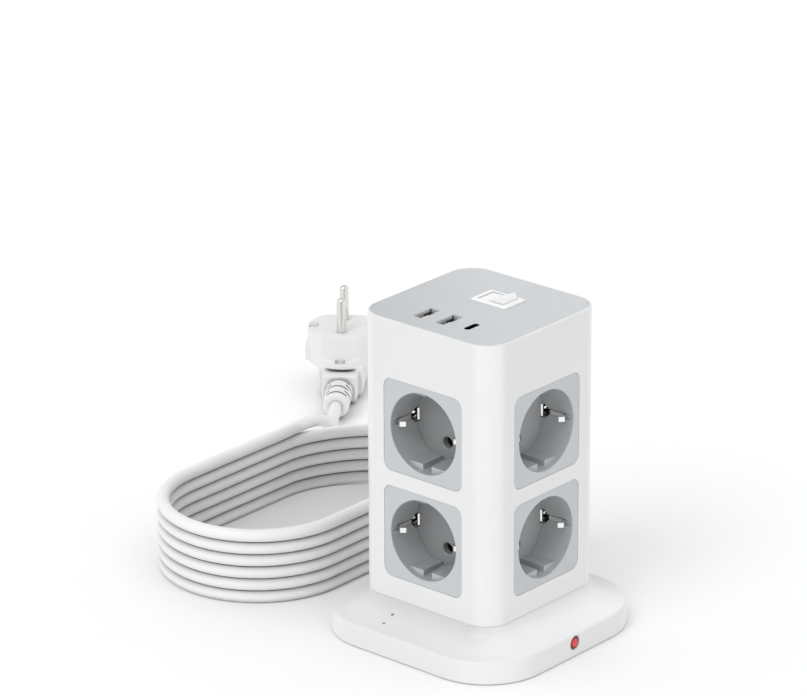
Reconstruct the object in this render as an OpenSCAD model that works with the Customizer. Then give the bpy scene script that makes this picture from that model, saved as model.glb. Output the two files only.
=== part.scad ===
// Tower power strip: a square white tower with two recessed earthed sockets on
// each of its four faces, charging ports and a rocker switch on top, a flared
// base with a reset button and two indicators, and a coiled lead with an angled plug.
// Millimetres, +Z up. Origin: centre of the footprint, on the surface it stands on.
// The front is -Y (the indicators' side); the reset button is on the +X side.

/* [Tower] */
// Width of the square tower
tower_w = 80.3; // [80:0.1:84]
// Radius of the tower's upright corners
tower_r = 13.3; // [12.5:0.1:14]
// Height of the tower's top face
tower_top = 158.2; // [158:0.1:170]
// Height at which the tower meets the base
tower_foot = 20.8; // [20.5:0.1:21.5]
// Wall thickness of the tower
wall = 2.2; // [2:0.1:2.4]

/* [Sockets] */
// Width of a socket's face plate
panel_w = 46.4; // [45:0.1:47]
// Height of a socket's face plate
panel_h = 45; // [44:0.1:46]
// Corner radius of a face plate
panel_r = 4.5; // [3:0.1:6]
// Height of the lower sockets' centres
socket_z = 54.7; // [54:0.1:58]
// Distance from a lower socket's centre to the upper one's
socket_pitch = 52.7; // [52:0.1:56]
// Radius of the recess at its mouth
recess_r = 19.5; // [19.3:0.1:19.7]
// Depth of the recess
recess_depth = 17.5; // [17:0.1:17.6]
// Distance between the two pin holes
pin_pitch = 19; // [18.8:0.1:19.2]
// Radius of a pin hole
pin_hole_r = 2.8; // [2.6:0.1:3]

/* [Base] */
// Width of the base
base_w = 116; // [112:0.5:118]
// Height at which the base's upright side ends
base_side = 11.9; // [11.5:0.1:12.5]
// Gap under the base, held by the rubber feet
base_gap = 0.8; // [0.5:0.1:1]
// Wall thickness of the base
base_wall = 2; // [1.8:0.1:2.2]

/* [Top] */
// Position of the first, second and third charging port along X
port_x = [-12.5, 0.8, 14.1];
// Position of the row of charging ports along Y
port_y = -22.3; // [-24:0.1:-20]
// Centre of the rocker switch
switch_at = [1.9, 10.8];
// Tilt of the rocker at rest, its +X end up
rocker_tilt = 14; // [10:0.5:14]

/* [Reset button] */
// Height of the button's axis
reset_z = 6.9; // [6.7:0.1:7]
// Radius of the button's cap
reset_r = 3.2; // [2.8:0.1:3.2]

/* [Lead] */
// Diameter of the cord
cord_d = 6.2; // [5.5:0.1:6.5]
// Position along X at which the lead leaves the back of the base
lead_x = -21; // [-22:0.5:0]
// Turns in the coil
coil_turns = 6; // [5:1:7]

/* [Hidden] */
$fn = 64;

half = tower_w/2;
core = half - tower_r;          // distance of each corner's centre from the middle
socket_zs = [socket_z, socket_z + socket_pitch];
base_d = base_w/2 - core;       // reach of the base beyond a corner's centre
cr = cord_d/2;
cup_r = recess_r + 1.4;
cup_back = recess_depth + 1.5;  // depth of the cup's rear face below the tower's face
sleeve_back = cup_back + 2;     // depth at which the pin holes' sleeves end
screw_xy = [48, 18];            // base screws
post_xy = 21;                   // posts under the surge board
boss_xy = 29;                   // bosses for the tower's screws

WHITE = [0.93, 0.93, 0.93];
GREY = [0.80, 0.81, 0.82];
STEEL = [0.80, 0.80, 0.82];
BRASS = [0.80, 0.66, 0.36];
BOARD = [0.10, 0.36, 0.20];

// ---------------------------------------------------------------- helpers

// arc of points, centre c, in any plane profile
function arc2(c, r, a0, a1, n) = [for (i = [0:n]) let (a = a0 + (a1 - a0)*i/n) c + r*[cos(a), sin(a)]];
// horizontal arc of path points with a height that changes evenly
function arc3(c, r, a0, a1, n, z0, z1) = [for (i = [0:n]) let (a = a0 + (a1 - a0)*i/n)
  [c[0] + r*cos(a), c[1] + r*sin(a), z0 + (z1 - z0)*i/n]];
function unit(v) = v/norm(v);

// rounded rectangle
module rrect(w, h, r) {
  square([w - 2*r, h], center = true);
  square([w, h - 2*r], center = true);
  for (x = [-1, 1], y = [-1, 1]) translate([x*(w/2 - r), y*(h/2 - r)]) circle(r);
}

// solid on the tower's rounded-square plan: pts is its section, as distance beyond
// the corners' centres against height, closed along the line at distance zero
module rsq(pts, lo, hi) {
  translate([-core, -core, lo]) cube([2*core, 2*core, hi - lo]);
  for (k = [0:3]) rotate([0, 0, 90*k]) {
    translate([core, core, 0]) rotate_extrude(angle = 90) polygon(pts);
    translate([core, core, 0]) rotate([90, 0, 0]) linear_extrude(2*core) polygon(pts);
  }
}

// places a child made for the front face on face k (0 front, 1 right, 2 back, 3 left)
module on_face(k) rotate([0, 0, 90*k]) translate([0, -half, 0]) children();

// cylinder along +Y from y0 to y1
module ycyl(r, y0, y1) translate([0, y0, 0]) rotate([-90, 0, 0]) cylinder(r = r, h = y1 - y0);

// tube of n sides along a path; ref is a direction that the path never takes
module tube(path, r, n = 10, ref = [0, 0, 1]) {
  m = len(path);
  dirs = [for (i = [0:m-1]) unit(i == 0 ? path[1] - path[0] : i == m-1 ? path[m-1] - path[m-2]
    : unit(path[i+1] - path[i]) + unit(path[i] - path[i-1]))];
  pts = [for (i = [0:m-1]) let (s = unit(cross(dirs[i], ref)), u = cross(s, dirs[i]))
    for (j = [0:n-1]) path[i] + r*(cos(360*j/n)*s + sin(360*j/n)*u)];
  faces = concat([[for (j = [0:n-1]) j]],
    [for (i = [0:m-2], j = [0:n-1]) [i*n + j, (i+1)*n + j, (i+1)*n + (j+1)%n, i*n + (j+1)%n]],
    [[for (j = [n-1:-1:0]) (m-1)*n + j]]);
  polyhedron(points = pts, faces = faces, convexity = 4);
}

// cross-head screw, head down at z = 0, shank upwards
module screw(head_r, head_h, r, len) {
  difference() {
    union() {
      cylinder(r = head_r, h = head_h);
      translate([0, 0, head_h]) cylinder(r = r, h = len);
    }
    for (a = [0, 90]) rotate([0, 0, a]) translate([-head_r*0.6, -0.35, -1]) cube([head_r*1.2, 0.7, 1.7]);
  }
}

// ---------------------------------------------------------------- tower

module tower_shell() color(WHITE) {
  difference() {
    rsq(concat([[0, tower_foot]], arc2([tower_r - 0.6, tower_foot + 0.6], 0.6, -90, 0, 3),
      arc2([tower_r - 0.8, tower_top - 0.8], 0.8, 0, 90, 4), [[0, tower_top]]), tower_foot, tower_top);
    // inside, the ledge that carries the top panel, and the panel's pocket
    rsq([[0, tower_foot - 1], [tower_r - wall, tower_foot - 1], [tower_r - wall, tower_top - 4],
      [tower_r - wall - 1.6, tower_top - 4], [tower_r - wall - 1.6, tower_top - 2],
      [tower_r - 1.35, tower_top - 2], [tower_r - 1.35, tower_top + 1], [0, tower_top + 1]],
      tower_foot - 1, tower_top + 1);
    // windows for the socket plates
    for (k = [0:3], z = socket_zs) on_face(k) translate([0, -1, z]) rotate([-90, 0, 0])
      linear_extrude(wall + 2) rrect(panel_w + 0.3, panel_h + 0.3, panel_r + 0.15);
  }
  // screw bosses in the corners, each tied to the wall by a rib
  for (k = [0:3]) rotate([0, 0, 90*k]) difference() {
    union() {
      translate([boss_xy, boss_xy, tower_foot]) cylinder(r = 3.2, h = 11);
      translate([boss_xy, boss_xy, tower_foot]) rotate([0, 0, 45]) translate([0, -1, 0]) cube([8.4, 2, 11]);
    }
    translate([boss_xy, boss_xy, tower_foot - 1]) cylinder(r = 1.2, h = 10);
  }
}

module top_panel() color(GREY) {
  d = tower_r - 1.43;
  difference() {
    rsq([[0, tower_top - 2], [d, tower_top - 2], [d, tower_top - 0.3], [d - 0.3, tower_top], [0, tower_top]],
      tower_top - 2, tower_top);
    for (x = [port_x[0], port_x[1]]) translate([x, port_y, tower_top - 3]) linear_extrude(4) rrect(5.9, 13.3, 0.5);
    translate([port_x[2], port_y, tower_top - 3]) linear_extrude(4) rrect(3.36, 9.16, 1.6);
    translate([switch_at[0], switch_at[1], tower_top - 3]) linear_extrude(4) rrect(19.3, 13.1, 0.5);
  }
  // posts for the charging board
  for (x = [-21, 23], y = [-34, -8]) difference() {
    translate([x, y, 143.5]) cylinder(r = 2.4, h = tower_top - 2 - 143.5);
    translate([x, y, 143]) cylinder(r = 0.9, h = 9);
  }
}

// ---------------------------------------------------------------- sockets

// one socket, made for the front face: face plate, cup, guide blocks and pin holes.
// y = 0 is the tower's face and +y is inwards
module socket(k, z) color(GREY) on_face(k) translate([0, 0, z]) {
  difference() {
    union() {
      translate([0, 0.2, 0]) rotate([-90, 0, 0]) linear_extrude(wall) rrect(panel_w, panel_h, panel_r);
      translate([0, wall + 0.05, 0]) rotate([-90, 0, 0]) linear_extrude(1.4) rrect(panel_w + 3, panel_h + 3, panel_r + 1.5);
      ycyl(cup_r, 1, cup_back);
      for (s = [-1, 1]) translate([0, 0, s*pin_pitch/2]) ycyl(4.3, cup_back - 0.2, sleeve_back);
    }
    // the recess, with a small lead-in at its mouth and a slight draft
    rotate([-90, 0, 0]) rotate_extrude() polygon([[0, -1], [recess_r + 0.3, -1], [recess_r + 0.3, 0.2],
      [recess_r, 0.5], [recess_r - 1.1, recess_depth], [0, recess_depth]]);
    // pin holes with a countersink
    for (s = [-1, 1]) translate([0, 0, s*pin_pitch/2]) {
      ycyl(pin_hole_r, recess_depth - 1, sleeve_back + 1);
      rotate([-90, 0, 0]) translate([0, 0, recess_depth - 0.01]) cylinder(r1 = pin_hole_r + 0.5, r2 = pin_hole_r, h = 0.5);
    }
    // channels for the earth contacts; each opens into a slot that widens towards the floor, where a
    // second slot takes the contact's foot
    for (s = [-1, 1]) {
      translate([s*19.1 - 0.85, 1.9, -1.45]) cube([1.7, 12.5, 2.9]);
      translate([s*20.1 - 2.15, 0, 0]) rotate([90, 0, 90]) linear_extrude(4.3)
        polygon([[13.7, -0.9], [15.9, -3.55], [19.9, -3.55], [19.9, 3.55], [16.1, 3.55], [13.7, 0.9]]);
      translate([s*17.6 - 0.95, recess_depth - 1, -3.15]) cube([1.9, 4, 6.7]);
    }
  }
  // guide blocks above and below, each split by a groove
  for (s = [-1, 1], t = [-1, 1]) intersection() {
    translate([t > 0 ? 2.5 : -12.5, s > 0 ? 5 : 3.4, s > 0 ? 16.2 : -20.2]) cube([10, recess_depth - (s > 0 ? 4.9 : 3.3), 4]);
    ycyl(recess_r + 0.6, 3, recess_depth + 1);
  }
}

// ---------------------------------------------------------------- contacts

// spring clip round a pin: two leaves at x = +-2.7, behind a pin hole
module pin_clip() {
  for (s = [-1, 1]) translate([s*2.7 - 0.3, sleeve_back + 0.5, -3]) cube([0.6, 11, 6]);
  translate([-3, sleeve_back + 10.9, -3]) cube([6, 0.6, 6]);
}

// strip of two clips joined by a bus bar at x = s*5.5
module contact_strip(k, dz, s, col) color(col) on_face(k) {
  for (z = socket_zs) translate([0, 0, z + dz]) {
    pin_clip();
    translate([s > 0 ? 2.9 : -5.9, sleeve_back + 10.9, -2]) cube([3, 0.6, 4]);
  }
  translate([s*5.5 - 0.4, sleeve_back + 3, socket_zs[0] + dz - 3]) cube([0.8, 8.5, socket_pitch + 6]);
}

// earth strip: a pair of side contacts in each recess, joined behind the floor. Each has a wide foot in
// the floor, a thin neck in the slot beside it, an arm in its channel and a bevelled nose out of the wall
module earth_strip(k) color(STEEL) on_face(k) {
  for (z = socket_zs, s = [-1, 1]) translate([0, 0, z]) mirror([s > 0 ? 0 : 1, 0, 0]) {
    translate([0, 0, -1.2]) linear_extrude(2.4) polygon([[18.55, 13.5], [18.6, 12.6], [18.95, 6], [18.4, 5], [16.45, 3.65],
      [14.5, 5.25], [14.1, 5.1], [14.1, 4.77], [16.16, 2.86], [16.6, 2.9], [18.8, 4.1], [19.5, 5.3], [19.5, 13.5]]);
    translate([0, 0, -0.6]) linear_extrude(1.2) polygon([[18.7, 13], [18.85, 18.2], [17.5, 18.2], [17.5, 18.9],
      [19.5, 18.9], [19.5, 13]]);
    // the foot, its front edge folded back at a slant
    translate([0, 0, -2.3]) linear_extrude(5.7) polygon([[16.85, cup_back + 1.1], [16.85, 17.45], [17.75, 16.55],
      [18.25, 16.75], [18.25, cup_back + 1.1]]);
  }
  for (z = socket_zs) translate([-17.9, cup_back + 0.4, z - 1.5]) cube([35.8, 0.8, 3]);
  translate([12, cup_back + 0.4, socket_zs[0] - 1.5]) cube([3, 0.8, socket_pitch + 3]);
}

// flat square ring that joins the strips of all four faces
module link(z, inner, outer, col) color(col) translate([0, 0, z]) difference() {
  translate([-outer, -outer, 0]) cube([2*outer, 2*outer, 0.8]);
  translate([-inner, -inner, -1]) cube([2*inner, 2*inner, 3]);
}

live_y = half - sleeve_back - 11.5;     // reach of the live and neutral bars from the middle
module live_link() link(socket_zs[1] + 0.6, 4.4, live_y, BRASS);
module neutral_link() link(socket_zs[0] - 2.7, 4.4, live_y, BRASS);
module earth_link() link((socket_zs[0] + socket_zs[1])/2, 17, half - cup_back - 1.2, STEEL);

// ---------------------------------------------------------------- charging unit

module usb_board() color(BOARD) difference() {
  translate([-24, -37, 141.9]) cube([50, 32, 1.6]);
  for (x = [-21, 23], y = [-34, -8]) translate([x, y, 141]) cylinder(r = 1.2, h = 4);
}

module usb_a_shells() color(STEEL) for (x = [port_x[0], port_x[1]]) translate([x, port_y, 0]) {
  difference() {
    translate([0, 0, 143.5]) linear_extrude(tower_top - 0.2 - 143.5) rrect(5.7, 13.1, 0.4);
    translate([0, 0, 145]) linear_extrude(20) rrect(5.1, 12.5, 0.2);
  }
}

module usb_a_tongues() color([0.12, 0.12, 0.13]) for (x = [port_x[0], port_x[1]]) {
  translate([x + 0.45, port_y - 5.6, 145]) cube([1.8, 11.2, 12.3]);
}

module usb_c_shell() color([0.45, 0.45, 0.47]) translate([port_x[2], port_y, 0]) difference() {
  translate([0, 0, 143.5]) linear_extrude(tower_top - 0.15 - 143.5) rrect(3.16, 8.94, 1.5);
  translate([0, 0, 147]) linear_extrude(20) rrect(2.56, 8.34, 1.2);
}

module usb_c_tongue() color([0.08, 0.08, 0.09]) translate([port_x[2] - 0.35, port_y - 3.35, 147]) cube([0.7, 6.7, 9.2]);

module usb_transformer() color([0.85, 0.72, 0.22]) {
  translate([-15, -30, 131]) cube([14, 13, 10.9]);
  for (x = [6, 15]) translate([x, -26, 131.4]) cylinder(r = 3.9, h = 10.5);
  translate([4, -14, 134.4]) cylinder(r = 3.1, h = 7.5);
}

// ---------------------------------------------------------------- rocker switch

pivot_z = tower_top - 0.8;
module at_switch() translate([switch_at[0], switch_at[1], 0]) children();

module switch_housing() color(WHITE) at_switch() difference() {
  union() {
    translate([0, 0, 141]) linear_extrude(tower_top - 141 + 0.5) rrect(19.1, 12.9, 0.4);
    // bezel, its outer edges bevelled
    hull() {
      translate([0, 0, tower_top + 0.02]) linear_extrude(0.6) rrect(20.5, 14.7, 0.5);
      translate([0, 0, tower_top + 0.1]) linear_extrude(1.1) rrect(19.3, 13.5, 0.3);
    }
  }
  translate([0, 0, 146.4]) linear_extrude(20) rrect(15.4, 11.2, 0.4);
  translate([0, 0, 142.5]) linear_extrude(5) rrect(15, 10, 0.4);
  ycyl_at(1.25, -6.2, 6.2, pivot_z);
}
module ycyl_at(r, y0, y1, z) translate([0, 0, z]) ycyl(r, y0, y1);

// the rocker: two flat faces that meet in a shallow V, round ends about the pivot, and a hollow foot
module power_rocker() color(WHITE) at_switch() translate([0, 0, pivot_z]) {
  rotate([0, -rocker_tilt, 0]) difference() {
    translate([0, 5.1, 0]) rotate([90, 0, 0]) linear_extrude(10.2) polygon(concat(
      arc2([0, 0], 7.5, 198, 162, 6), arc2([-6.6, 2.88], 0.38, 166, 79.5, 4), [[0, 1.98]],
      arc2([6.6, 2.88], 0.38, 100.5, 14, 4), arc2([0, 0], 7.5, 18, -18, 6), arc2([0, 0], 7.2, -22, -158, 12)));
    // hollow underneath
    translate([-5.2, -3.9, -10]) cube([10.4, 7.8, 9.6]);
  }
  ycyl(1.18, -6.1, 6.1);
  // post that pushes the contact arm
  rotate([0, -rocker_tilt, 0]) translate([0, 0, -8.5]) cylinder(r = 1.3, h = 8.2);
}

arm_z = 147.3;
// see-saw contact under the rocker's post, leaning the other way
module switch_contact_arm() color(BRASS) at_switch() translate([0, 0, arm_z]) {
  rotate([0, rocker_tilt*0.6, 0]) {
    translate([-6, -2.5, 0.6]) cube([12, 5, 0.7]);
    translate([0, 2.5, 0]) rotate([90, 0, 0]) cylinder(r = 0.8, h = 5);
    translate([-1, -2.5, 0]) cube([2, 5, 0.8]);
    for (s = [-1, 1]) translate([s*5.2, 0, -0.2]) cylinder(r = 1, h = 0.9);
  }
}

module switch_terminals() color(BRASS) at_switch() {
  // cradle that the arm rocks on
  translate([-1.6, -3, 142.5]) cube([3.2, 6, 3.95]);
  for (x = [-1, 1]) translate([x*6.3 - 0.9, -2.4, 142.5]) cube([1.8, 4.8, 3.5]);
  // blades below the housing
  for (x = [-6.6, 0, 6.6]) translate([x - 0.4, -2.4, 133]) cube([0.8, 4.8, 8]);
}

// ---------------------------------------------------------------- surge protection

module surge_board() color(BOARD) difference() {
  translate([-25, -25, tower_foot + 3.2]) cube([50, 50, 1.6]);
  translate([0, 0, tower_foot]) cylinder(r = 9, h = 8);
  translate([13.2, 13.2, tower_foot]) cylinder(r = 1.8, h = 8);
  for (x = [-post_xy, post_xy], y = [-post_xy, post_xy]) translate([x, y, tower_foot]) cylinder(r = 1.3, h = 8);
}

module varistors() color([0.16, 0.35, 0.68])
  for (p = [[-14, -13], [14, -13], [-14, 12]]) translate([p[0], p[1], tower_foot + 4.8]) {
    difference() {
      cylinder(r = 6.4, h = 4.4);
      translate([0, 0, 3.9]) cylinder(r = 4, h = 1);
    }
  }

module thermal_fuse() color([0.9, 0.9, 0.86]) translate([18, -2, tower_foot + 6.9]) {
  ycyl(2.1, 0, 10);
  ycyl(0.5, -2, 12);
}

// ---------------------------------------------------------------- base

function flare(d0, d1, z0, z1, n) = [for (i = [0:n]) let (t = 90*i/n) [d0 - (d0 - d1)*sin(t), z0 + (z1 - z0)*(1 - cos(t))]];
rim = 0.35;                     // height of the cover's lower edge, a little below the base plate
base_out = concat([[0, rim]], arc2([base_d - 0.5, rim + 0.5], 0.5, -90, 0, 2),
  arc2([base_d - 1.6, base_side - 1.6], 1.6, 0, 78, 6),
  flare(base_d - 1.7, tower_r - 0.25, base_side, tower_foot, 20), [[0, tower_foot]]);
relief_z = 6.4;
clamp_y = 41.6;                 // middle of the cord clamp

module base_cover() color(WHITE) difference() {
  union() {
    difference() {
      rsq(base_out, rim, tower_foot);
      rsq(concat([[0, -1], [base_d - base_wall, -1]],
        flare(base_d - base_wall, tower_r - 2.2, base_side - base_wall, tower_foot - base_wall, 8),
        [[0, tower_foot - base_wall]]), -1, tower_foot - base_wall);
    }
    // bosses for the base screws, and posts for the surge board
    for (x = [-1, 1], y = [-1, 1]) {
      translate([x*screw_xy[0], y*screw_xy[1], 2.9]) cylinder(r = 3.4, h = 8.4);
      translate([x*post_xy, y*post_xy, tower_foot - 0.5]) cylinder(r = 2.4, h = 3.7);
    }
  }
  for (x = [-1, 1], y = [-1, 1]) {
    translate([x*screw_xy[0], y*screw_xy[1], 2]) cylinder(r = 1.2, h = 7.5);
    translate([x*post_xy, y*post_xy, tower_foot - 1]) cylinder(r = 1, h = 6);
    translate([x*boss_xy, y*boss_xy, tower_foot - 4]) cylinder(r = 1.8, h = 6);
  }
  // wiring hole into the tower
  translate([0, 0, tower_foot - 4]) cylinder(r = 22, h = 6);
  // reset button: hole with a lead-in, and the pocket behind it
  translate([0, 0, reset_z]) rotate([0, 90, 0]) {
    cylinder(r = reset_r + 0.15, h = base_w);
    translate([0, 0, 49.5]) cylinder(r = reset_r + 0.65, h = base_w/2 - base_wall - 49.5 + 0.1);
    translate([0, 0, base_w/2 - 0.5]) cylinder(r1 = reset_r + 0.15, r2 = reset_r + 0.95, h = 0.8);
  }
  // cord hole
  translate([lead_x, 0, relief_z]) ycyl(4.05, 50, base_w);
  // indicator holes
  for (y = [-44.1, -50.1]) translate([-15.2, y, 4]) cylinder(r = 0.7, h = 16);
}

module base_plate() color([0.9, 0.9, 0.9]) {
  difference() {
    rsq([[0, base_gap], [base_d - base_wall - 0.15, base_gap], [base_d - base_wall - 0.15, base_gap + 2], [0, base_gap + 2]],
      base_gap, base_gap + 2);
    for (x = [-1, 1], y = [-1, 1]) {
      translate([x*screw_xy[0], y*screw_xy[1], 0]) { cylinder(r = 1.6, h = 5); cylinder(r = 3.1, h = base_gap + 1.2); }
      translate([x*41, y*41, 0]) cylinder(r = 6.6, h = base_gap + 0.8);
      translate([x*boss_xy, y*boss_xy, 0]) cylinder(r = 3, h = 5);
    }
    translate([lead_x, 0, relief_z]) ycyl(4.25, 52.5, 60);
  }
  // cord saddle
  translate([lead_x, 0, 0]) difference() {
    union() {
      for (x = [-8, 8]) translate([x, clamp_y, base_gap + 1.9]) cylinder(r = 2.7, h = 3.2);
      translate([-3.2, clamp_y - 3.5, base_gap + 1.9]) cube([6.4, 7, 1.6]);
    }
    translate([0, 0, relief_z]) ycyl(cr + 0.02, clamp_y - 5, clamp_y + 5);
    for (x = [-8, 8]) translate([x, clamp_y, base_gap + 2.2]) cylinder(r = 1.1, h = 5);
  }
}

module rubber_feet() color([0.35, 0.35, 0.36])
  for (x = [-41, 41], y = [-41, 41]) translate([x, y, 0]) {
    difference() {
      union() {
        cylinder(r1 = 6, r2 = 6.4, h = 0.5);
        translate([0, 0, 0.5]) cylinder(r = 6.4, h = base_gap + 0.3);
      }
      difference() { translate([0, 0, -1]) cylinder(r = 4.4, h = 1.3); translate([0, 0, -2]) cylinder(r = 3.6, h = 4); }
    }
  }

module base_screws() color(STEEL) for (x = [-1, 1], y = [-1, 1])
  translate([x*screw_xy[0], y*screw_xy[1], 1]) screw(2.9, 1, 1.15, 6.5);

module tower_screws() color(STEEL) for (x = [-1, 1], y = [-1, 1])
  translate([x*boss_xy, y*boss_xy, tower_foot - base_wall - 1.6]) screw(2.8, 1.6, 1.15, 9);

module board_screws() color(STEEL) {
  for (x = [-1, 1], y = [-1, 1]) translate([x*post_xy, y*post_xy, tower_foot + 6.2]) mirror([0, 0, 1]) screw(2.1, 1.4, 0.95, 4.5);
  for (x = [-21, 23], y = [-34, -8]) translate([x, y, 140.5]) screw(2, 1.4, 0.85, 7);
  for (x = [-8, 8]) translate([lead_x + x, clamp_y, 11.32]) mirror([0, 0, 1]) screw(2.2, 1, 1.05, 6.9);
}

// light pipes, their tops following the flare
module indicator_light_pipes() color([0.86, 0.88, 0.88]) intersection() {
  for (y = [-44.1, -50.1]) translate([-15.2, y, 7.9]) cylinder(r = 0.65, h = 12);
  translate([-core, -core, 0]) rotate([0, 0, -90]) rotate([90, 0, 0]) mirror([0, 0, 1]) linear_extrude(2*core) polygon(base_out);
}

module indicator_board() {
  color(BOARD) translate([-22, -54, 4.2]) cube([14, 17, 1.4]);
  color([0.85, 0.9, 0.85]) for (y = [-44.1, -50.1]) translate([-15.2, y, 5.6]) cylinder(r = 1.4, h = 2);
  color(BOARD) for (x = [-20.5, -9.5]) translate([x, -39, base_gap + 2]) cylinder(r = 1.2, h = 1.5);
}

// ---------------------------------------------------------------- reset button and breaker

module breaker_body() color([0.15, 0.15, 0.16]) difference() {
  union() {
    translate([33, -7.5, base_gap + 2.1]) cube([17, 15, 7.1]);
    for (y = [-4.5, 4.5]) translate([28, y - 1.6, 5.8]) cube([5.2, 3.2, 0.8]);
  }
  translate([43.5, 0, reset_z]) rotate([0, 90, 0]) cylinder(r = 1.36, h = 10);
}

module reset_button() color([0.80, 0.08, 0.07]) translate([0, 0, reset_z]) rotate([0, 90, 0]) rotate_extrude()
  polygon(concat([[0, 45.5], [1.3, 45.5], [1.3, 53.6], [reset_r + 0.42, 53.6], [reset_r + 0.42, 54.6], [reset_r, 54.6]],
    [[reset_r, 56.95], [reset_r - 0.15, 57.1], [reset_r - 0.8, 57.1]], arc2([reset_r - 1.4, 57.2], 0.45, 0, 80, 4), [[0, 57.75]]));

spring_a = 50.1; spring_b = 53.5;
// the return spring, as the sleeve that its coils fill
module reset_spring() color(STEEL) translate([spring_a, 0, reset_z]) rotate([0, 90, 0]) difference() {
  cylinder(r = 2.5, h = spring_b - spring_a);
  translate([0, 0, -1]) cylinder(r = 1.8, h = 10);
}

// ---------------------------------------------------------------- wiring

module line_wires() color([0.42, 0.24, 0.14]) {
  // from the cord to the breaker, and from the breaker up to the switch
  tube([[lead_x + 1.7, 35.4, 6.4], [-14, 27, 5.6], [0, 18, 5], [14, 12, 5], [22, 8, 5], [27.6, 5, 6]], 1, 8);
  tube([[27.6, -5, 6.2], [21, -6, 8], [14, -5, 12], [8, -1, 17], [4, 1.6, 24], [2.7, 2.5, 32], [2.5, 2.5, 60], [2.5, 2.5, 96],
    [2.3, 3, 122], [-1, 7, 129], [-4.4, 10.2, 132.2]], 1.1, 8, [1, 0, 0.01]);
  tube([[8.2, 9.7, 132.5], [7.6, 8, 129], [6.6, 6.6, 124], [6.4, 6.4, 116], [6.4, 6.4, socket_zs[1] + 1.5]], 1.1, 8, [1, 0, 0.01]);
}
module neutral_wire() color([0.15, 0.30, 0.62])
  tube([[lead_x - 1.7, 35.4, 6.4], [-20, 28, 6.4], [-14, 18, 8], [-6.6, 9.6, 13], [-4.8, 5.4, 19.5], [-4.4, 4.4, 28], [-5.4, 5.4, 40],
    [-6.4, 6.4, socket_zs[0] - 2.8]], 1.1, 8, [1, 0, 0.01]);
module earth_wire() color([0.55, 0.68, 0.15])
  tube([[lead_x, 35.4, 8.3], [-18, 30, 9.4], [-10, 24, 11], [0, 19, 13], [8, 15.4, 16], [13.2, 13.2, 19.4], [13.2, 13.2, 24], [13.2, 13.2, 34],
    [14.6, 14.6, 41], [17.4, 17.4, 49], [18.5, 18.5, 57], [18.5, 18.5, (socket_zs[0] + socket_zs[1])/2 - 0.1]], 1.1, 8, [1, 0, 0.01]);

// ---------------------------------------------------------------- cord

module cord_clamp() color([0.85, 0.85, 0.84]) translate([lead_x, 0, 0]) difference() {
  translate([-11, clamp_y - 3.5, 6]) cube([22, 7, 4.3]);
  translate([0, 0, relief_z]) ycyl(cr + 0.02, clamp_y - 5, clamp_y + 5);
  for (x = [-8, 8]) translate([x, clamp_y, 5]) cylinder(r = 1.3, h = 8);
}

relief_end = 84;
module cord_strain_relief() color(WHITE) translate([lead_x, 0, relief_z]) {
  difference() {
    rotate([-90, 0, 0]) rotate_extrude() polygon([[0, 36], [cr, 36], [cr, 54], [3.95, 54], [3.95, 58.1], [5, 58.1], [5, 59.6],
      [4.6, 60.4], [3.5, relief_end], [0, relief_end]]);
    // flex slots, in turn above and below and at the sides
    for (i = [0:3]) translate([0, 63.5 + 5*i, 0]) {
      for (s = [-1, 1]) translate([-6, -0.7, s > 0 ? 3.35 : -6.35]) cube([12, 1.4, 3]);
    }
    for (i = [0:2]) translate([0, 66 + 5*i, 0]) {
      for (s = [-1, 1]) translate([s > 0 ? 3.35 : -6.35, -0.7, -6]) cube([3, 1.4, 12]);
    }
  }
  translate([-6, 53, -3.4]) cube([12, 2.8, 6.7]);
}

// the coil: a stadium, one cord wide
coil_x = [-171, -78.8];         // centre lines of its straight sides
coil_y = [-15, 53];             // where its round ends start
coil_cx = (coil_x[0] + coil_x[1])/2;
coil_r = (coil_x[1] - coil_x[0])/2;
module stadium(r) {
  for (y = coil_y) translate([coil_cx, y]) circle(r);
  translate([coil_cx - r, coil_y[0]]) square([2*r, coil_y[1] - coil_y[0]]);
}
module power_cord_coil() color(WHITE) linear_extrude(coil_turns*cord_d) difference() {
  stadium(coil_r + cr);
  stadium(coil_r - cr);
}

// the lead leaves the back of the base, comes down to the surface and runs round to the coil
bend_x = lead_x - 25;           // centre of the two bends along X
lead_route = concat([[lead_x, relief_end, relief_z]], arc3([bend_x, 88], 25, 0, 75, 5, relief_z, cr),
  arc3([bend_x, 113 - (bend_x - coil_x[1])], bend_x - coil_x[1], 90, 180, 6, cr, cr),
  [[coil_x[1], 68, cr], [coil_x[1], coil_y[1], cr]]);
module power_cord_lead() color(WHITE) tube(lead_route, cr);

// the tail leaves the top turn, comes down off the coil and runs to the plug
tail_route = [[-171, 51, 34.1], [-171.3, 61, 34.1], [-172.6, 71, 33.4], [-175.2, 81, 31], [-179.3, 91, 26.8], [-184.8, 100.6, 21.2],
  [-191.2, 109.5, 15.7], [-198.4, 118.5, 11], [-206, 128, 8.4], [-215, 140, 8], [-218, 144, 8]];
module power_cord_tail() color(WHITE) tube(tail_route, cr);

// ---------------------------------------------------------------- plug, lying on its back

plug_at = [-218, 144];
module at_plug() translate([plug_at[0], plug_at[1], 0]) rotate([0, 0, atan2(3, 4)]) children();
disc_y = 47; disc_r = 18.6; face_z = 35;

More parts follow.
